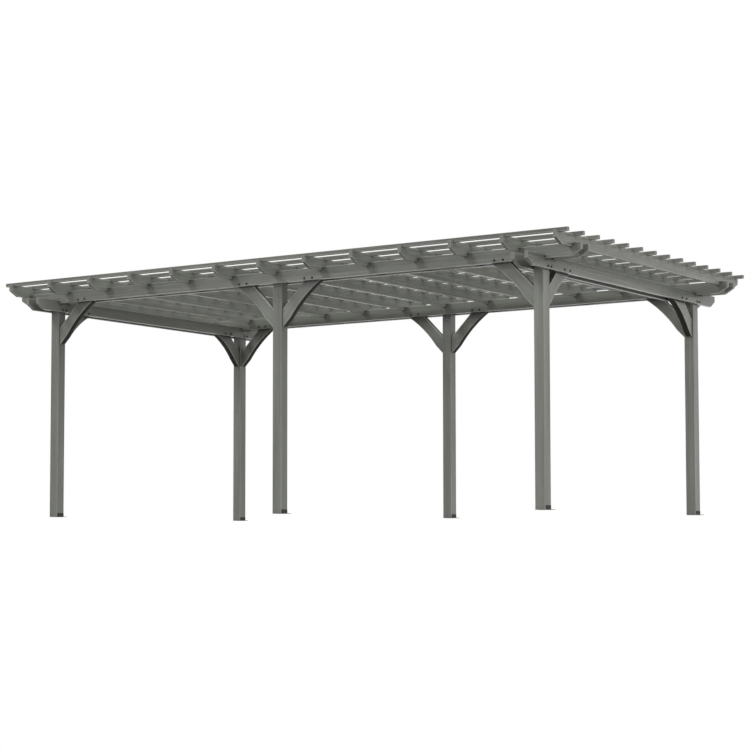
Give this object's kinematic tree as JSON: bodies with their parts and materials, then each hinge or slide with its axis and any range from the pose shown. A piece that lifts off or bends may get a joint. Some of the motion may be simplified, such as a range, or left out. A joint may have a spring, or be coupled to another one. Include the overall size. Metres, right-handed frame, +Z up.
{
  "type": "pergola",
  "caption": "Open wooden pergola on square posts, with doubled beams, curved knee braces, notched rafters with cut tails and a roof of slats.",
  "frame": {"origin": "on the ground, at the centre of the rectangle of posts", "axes": "+X along the long side, +Y from the front row of posts to the back row, +Z up"},
  "size_m": [7.296, 4.26, 2.672],
  "materials": {
    "stained_wood": "matte grey stain with fine grain",
    "dark_steel": "matte dark coating"
  },
  "bodies": {
    "root": {"front_left_post": "stained_wood", "front_middle_post": "stained_wood", "front_right_post": "stained_wood", "back_left_post": "stained_wood", "back_middle_post": "stained_wood", "back_right_post": "stained_wood", "front_beam_outer_board": "stained_wood", "front_beam_inner_board": "stained_wood", "back_beam_outer_board": "stained_wood", "back_beam_inner_board": "stained_wood", "left_cross_beam_outer_board": "stained_wood", "left_cross_beam_inner_board": "stained_wood", "right_cross_beam_outer_board": "stained_wood", "right_cross_beam_inner_board": "stained_wood", "front_left_brace": "stained_wood", "front_middle_left_brace": "stained_wood", "front_middle_right_brace": "stained_wood", "front_right_brace": "stained_wood", "back_left_brace": "stained_wood", "back_middle_left_brace": "stained_wood", "back_middle_right_brace": "stained_wood", "back_right_brace": "stained_wood", "front_left_cross_brace": "stained_wood", "front_right_cross_brace": "stained_wood", "back_left_cross_brace": "stained_wood", "back_right_cross_brace": "stained_wood", "rafter_1": "stained_wood", "rafter_2": "stained_wood", "rafter_3": "stained_wood", "rafter_4": "stained_wood", "rafter_5": "stained_wood", "rafter_6": "stained_wood", "rafter_7": "stained_wood", "rafter_8": "stained_wood", "rafter_9": "stained_wood", "rafter_10": "stained_wood", "rafter_11": "stained_wood", "rafter_12": "stained_wood", "rafter_13": "stained_wood", "slats": "stained_wood", "post_anchors": "dark_steel"}
  },
  "joints": []
}
